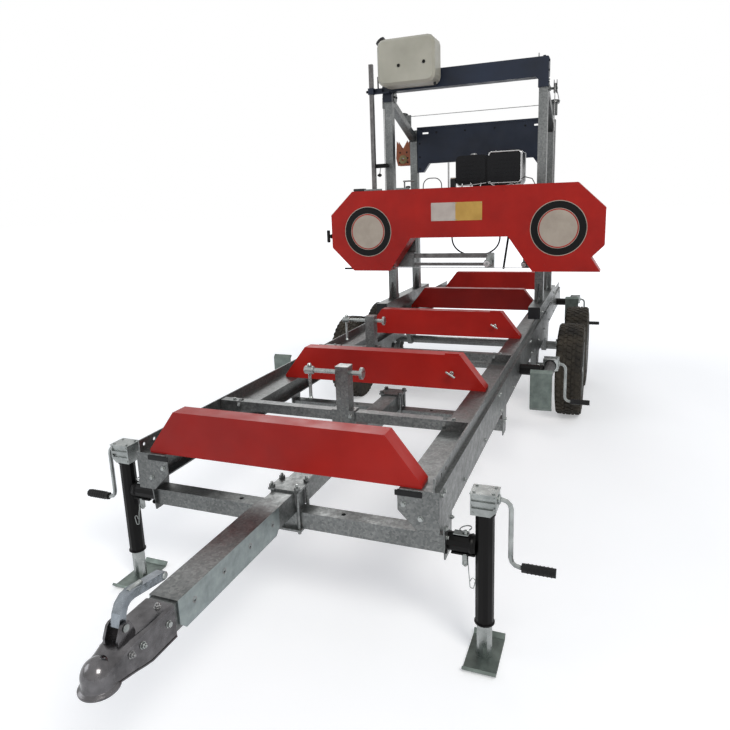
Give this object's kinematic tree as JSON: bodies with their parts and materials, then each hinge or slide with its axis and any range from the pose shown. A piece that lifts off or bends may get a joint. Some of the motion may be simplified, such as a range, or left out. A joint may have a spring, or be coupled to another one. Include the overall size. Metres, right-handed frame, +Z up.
{
  "type": "portable sawmill",
  "caption": "Portable band sawmill on a tandem trailer: channel bed with red bunks, rolling carriage, lifting saw head and fold-down crank jacks.",
  "frame": {"origin": "middle of the machine's overall base, on the ground, with the saw head over the rear half of the bed", "axes": "+X to the right as seen from the coupler, +Y along the bed from the coupler to the tail, +Z up"},
  "size_m": [1.8202, 5.108, 2.4214],
  "materials": {
    "galvanised": "hot-dip galvanised, dull spangle",
    "red_paint": "satin red powder coat",
    "black_paint": "satin black paint",
    "navy_paint": "satin dark navy paint",
    "zinc_steel": "bright zinc plate",
    "cast_wheel": "machined casting",
    "blade_steel": "bright band steel",
    "tyre_rubber": "dusty rubber",
    "tank_plastic": "cream moulded plastic",
    "yellow_zinc": "yellow zinc plate",
    "engine_black": "satin black covers",
    "hose_rubber": "matt black hose"
  },
  "bodies": {
    "bed": {"rail_left": "galvanised", "rail_right": "galvanised", "bunk_1": "red_paint", "bunk_2": "red_paint", "bunk_3": "red_paint", "bunk_4": "red_paint", "bunk_5": "red_paint", "cross_tube_front": "galvanised", "cross_tube_middle": "galvanised", "drawbar_tube": "galvanised", "drawbar_sleeve": "galvanised", "coupler_body": "zinc_steel", "clamp_rail_front": "galvanised", "clamp_rail_rear": "galvanised", "axle_frame": "galvanised"},
    "coupler_lever": {"coupler_lever": "zinc_steel"},
    "wheel_front_left": {"wheel_front_left": "tyre_rubber"},
    "wheel_front_right": {"wheel_front_right": "tyre_rubber"},
    "wheel_rear_left": {"wheel_rear_left": "tyre_rubber"},
    "wheel_rear_right": {"wheel_rear_right": "tyre_rubber"},
    "clamp_post_front": {"clamp_post_front": "galvanised"},
    "clamp_screw_front": {"clamp_screw_front": "zinc_steel"},
    "clamp_post_rear": {"clamp_post_rear": "galvanised"},
    "clamp_screw_rear": {"clamp_screw_rear": "zinc_steel"},
    "log_stop_front": {"log_stop_front": "red_paint"},
    "log_stop_rear": {"log_stop_rear": "red_paint"},
    "jack_body_front_left": {"jack_body_front_left": "black_paint"},
    "jack_leg_front_left": {"jack_leg_front_left": "zinc_steel"},
    "jack_crank_front_left": {"jack_crank_front_left": "zinc_steel"},
    "jack_body_front_right": {"jack_body_front_right": "black_paint"},
    "jack_leg_front_right": {"jack_leg_front_right": "zinc_steel"},
    "jack_crank_front_right": {"jack_crank_front_right": "zinc_steel"},
    "jack_body_middle_left": {"jack_body_middle_left": "black_paint"},
    "jack_leg_middle_left": {"jack_leg_middle_left": "zinc_steel"},
    "jack_crank_middle_left": {"jack_crank_middle_left": "zinc_steel"},
    "jack_body_middle_right": {"jack_body_middle_right": "black_paint"},
    "jack_leg_middle_right": {"jack_leg_middle_right": "zinc_steel"},
    "jack_crank_middle_right": {"jack_crank_middle_right": "zinc_steel"},
    "jack_body_rear_left": {"jack_body_rear_left": "black_paint"},
    "jack_leg_rear_left": {"jack_leg_rear_left": "zinc_steel"},
    "jack_crank_rear_left": {"jack_crank_rear_left": "zinc_steel"},
    "jack_body_rear_right": {"jack_body_rear_right": "black_paint"},
    "jack_leg_rear_right": {"jack_leg_rear_right": "zinc_steel"},
    "jack_crank_rear_right": {"jack_crank_rear_right": "zinc_steel"},
    "carriage": {"side_frame_left": "galvanised", "side_frame_right": "galvanised", "top_beam": "navy_paint", "rear_panel": "navy_paint", "water_tank": "tank_plastic", "lift_rope": "zinc_steel"},
    "saw_head": {"head_frame": "galvanised", "wheel_cover": "red_paint", "blade": "blade_steel", "engine": "engine_black", "water_hose": "hose_rubber"},
    "winch_drum": {"winch_drum": "yellow_zinc"},
    "band_wheel_left": {"band_wheel_left": "cast_wheel"},
    "band_wheel_right": {"band_wheel_right": "cast_wheel"},
    "guide_arm": {"guide_arm": "zinc_steel"},
    "tension_handle": {"tension_handle": "black_paint"}
  },
  "joints": [
    {"name": "coupler_lever_lift", "type": "hinge", "parent": "bed", "child": "coupler_lever", "pos_m": [0.00015, -2.436, 0.5], "axis": [1, 0, 0], "range_deg": [0, 60]},
    {"name": "wheel_front_left_spin", "type": "hinge", "parent": "bed", "child": "wheel_front_left", "pos_m": [-0.73985, 0.728, 0.291], "axis": [1, 0, 0], "continuous": true},
    {"name": "wheel_front_right_spin", "type": "hinge", "parent": "bed", "child": "wheel_front_right", "pos_m": [0.74015, 0.728, 0.291], "axis": [1, 0, 0], "continuous": true},
    {"name": "wheel_rear_left_spin", "type": "hinge", "parent": "bed", "child": "wheel_rear_left", "pos_m": [-0.73985, 1.378, 0.291], "axis": [1, 0, 0], "continuous": true},
    {"name": "wheel_rear_right_spin", "type": "hinge", "parent": "bed", "child": "wheel_rear_right", "pos_m": [0.74015, 1.378, 0.291], "axis": [1, 0, 0], "continuous": true},
    {"name": "clamp_post_front_slide", "type": "slide", "parent": "bed", "child": "clamp_post_front", "axis": [1, 0, 0], "range_m": [-0.31, 0.27]},
    {"name": "clamp_screw_front_feed", "type": "slide", "parent": "clamp_post_front", "child": "clamp_screw_front", "axis": [1, 0, 0], "range_m": [-0.038, 0.098]},
    {"name": "clamp_post_rear_slide", "type": "slide", "parent": "bed", "child": "clamp_post_rear", "axis": [1, 0, 0], "range_m": [-0.045, 0.54]},
    {"name": "clamp_screw_rear_feed", "type": "slide", "parent": "clamp_post_rear", "child": "clamp_screw_rear", "axis": [1, 0, 0], "range_m": [-0.038, 0.098]},
    {"name": "log_stop_front_raise", "type": "slide", "parent": "bed", "child": "log_stop_front", "axis": [0, 0, 1], "range_m": [0, 0.105]},
    {"name": "log_stop_rear_raise", "type": "slide", "parent": "bed", "child": "log_stop_rear", "axis": [0, 0, 1], "range_m": [0, 0.105]},
    {"name": "jack_swivel_front_left", "type": "hinge", "parent": "bed", "child": "jack_body_front_left", "pos_m": [-0.67385, -1.656, 0.3685], "axis": [1, 0, 0], "range_deg": [-90, 0]},
    {"name": "jack_leg_front_left_wind", "type": "slide", "parent": "jack_body_front_left", "child": "jack_leg_front_left", "axis": [0, 0, 1], "range_m": [-0.15, 0.1]},
    {"name": "jack_crank_front_left_turn", "type": "hinge", "parent": "jack_body_front_left", "child": "jack_crank_front_left", "pos_m": [-0.67385, -1.656, 0.5235], "axis": [1, 0, 0], "continuous": true},
    {"name": "jack_swivel_front_right", "type": "hinge", "parent": "bed", "child": "jack_body_front_right", "pos_m": [0.64215, -1.656, 0.3685], "axis": [1, 0, 0], "range_deg": [-90, 0]},
    {"name": "jack_leg_front_right_wind", "type": "slide", "parent": "jack_body_front_right", "child": "jack_leg_front_right", "axis": [0, 0, 1], "range_m": [-0.15, 0.1]},
    {"name": "jack_crank_front_right_turn", "type": "hinge", "parent": "jack_body_front_right", "child": "jack_crank_front_right", "pos_m": [0.64215, -1.656, 0.5235], "axis": [1, 0, 0], "continuous": true},
    {"name": "jack_swivel_middle_left", "type": "hinge", "parent": "bed", "child": "jack_body_middle_left", "pos_m": [-0.67385, -0.091, 0.49], "axis": [1, 0, 0], "range_deg": [0, 90]},
    {"name": "jack_leg_middle_left_wind", "type": "slide", "parent": "jack_body_middle_left", "child": "jack_leg_middle_left", "axis": [0, 1, 0], "range_m": [-0.15, 0.1]},
    {"name": "jack_crank_middle_left_turn", "type": "hinge", "parent": "jack_body_middle_left", "child": "jack_crank_middle_left", "pos_m": [-0.67385, 0.064, 0.49], "axis": [1, 0, 0], "continuous": true},
    {"name": "jack_swivel_middle_right", "type": "hinge", "parent": "bed", "child": "jack_body_middle_right", "pos_m": [0.67415, -0.091, 0.49], "axis": [1, 0, 0], "range_deg": [0, 90]},
    {"name": "jack_leg_middle_right_wind", "type": "slide", "parent": "jack_body_middle_right", "child": "jack_leg_middle_right", "axis": [0, 1, 0], "range_m": [-0.15, 0.1]},
    {"name": "jack_crank_middle_right_turn", "type": "hinge", "parent": "jack_body_middle_right", "child": "jack_crank_middle_right", "pos_m": [0.67415, 0.064, 0.49], "axis": [1, 0, 0], "continuous": true},
    {"name": "jack_swivel_rear_left", "type": "hinge", "parent": "bed", "child": "jack_body_rear_left", "pos_m": [-0.67385, 2.179, 0.49], "axis": [1, 0, 0], "range_deg": [0, 90]},
    {"name": "jack_leg_rear_left_wind", "type": "slide", "parent": "jack_body_rear_left", "child": "jack_leg_rear_left", "axis": [0, 1, 0], "range_m": [-0.15, 0.1]},
    {"name": "jack_crank_rear_left_turn", "type": "hinge", "parent": "jack_body_rear_left", "child": "jack_crank_rear_left", "pos_m": [-0.67385, 2.334, 0.49], "axis": [1, 0, 0], "continuous": true},
    {"name": "jack_swivel_rear_right", "type": "hinge", "parent": "bed", "child": "jack_body_rear_right", "pos_m": [0.67415, 2.179, 0.49], "axis": [1, 0, 0], "range_deg": [0, 90]},
    {"name": "jack_leg_rear_right_wind", "type": "slide", "parent": "jack_body_rear_right", "child": "jack_leg_rear_right", "axis": [0, 1, 0], "range_m": [-0.15, 0.1]},
    {"name": "jack_crank_rear_right_turn", "type": "hinge", "parent": "jack_body_rear_right", "child": "jack_crank_rear_right", "pos_m": [0.67415, 2.334, 0.49], "axis": [1, 0, 0], "continuous": true},
    {"name": "carriage_travel", "type": "slide", "parent": "bed", "child": "carriage", "axis": [0, 1, 0], "range_m": [-2.4, 0.78]},
    {"name": "head_lift", "type": "slide", "parent": "carriage", "child": "saw_head", "axis": [0, 0, 1], "range_m": [-0.19, 0.55], "deforming": ["lift_rope"]},
    {"name": "winch_turn", "type": "hinge", "parent": "carriage", "child": "winch_drum", "pos_m": [-0.59585, 1.534, 1.7], "axis": [0, 1, 0], "range_deg": [-430, 1240]},
    {"name": "band_wheel_left_spin", "type": "hinge", "parent": "saw_head", "child": "band_wheel_left", "pos_m": [-0.57585, 0.69, 1.183], "axis": [0, 1, 0], "continuous": true},
    {"name": "band_wheel_right_spin", "type": "hinge", "parent": "saw_head", "child": "band_wheel_right", "pos_m": [0.64615, 0.69, 1.183], "axis": [0, 1, 0], "continuous": true},
    {"name": "guide_arm_slide", "type": "slide", "parent": "saw_head", "child": "guide_arm", "axis": [1, 0, 0], "range_m": [-0.4, 0.1]},
    {"name": "tension_handle_turn", "type": "hinge", "parent": "saw_head", "child": "tension_handle", "pos_m": [-0.87985, 0.706, 1.15], "axis": [1, 0, 0], "continuous": true}
  ],
  "couplings": [
    {"joint": "band_wheel_left_spin", "follows": "band_wheel_right_spin", "ratio": 1},
    {"joint": "winch_turn", "follows": "head_lift", "rad_per_m": 38.462}
  ]
}
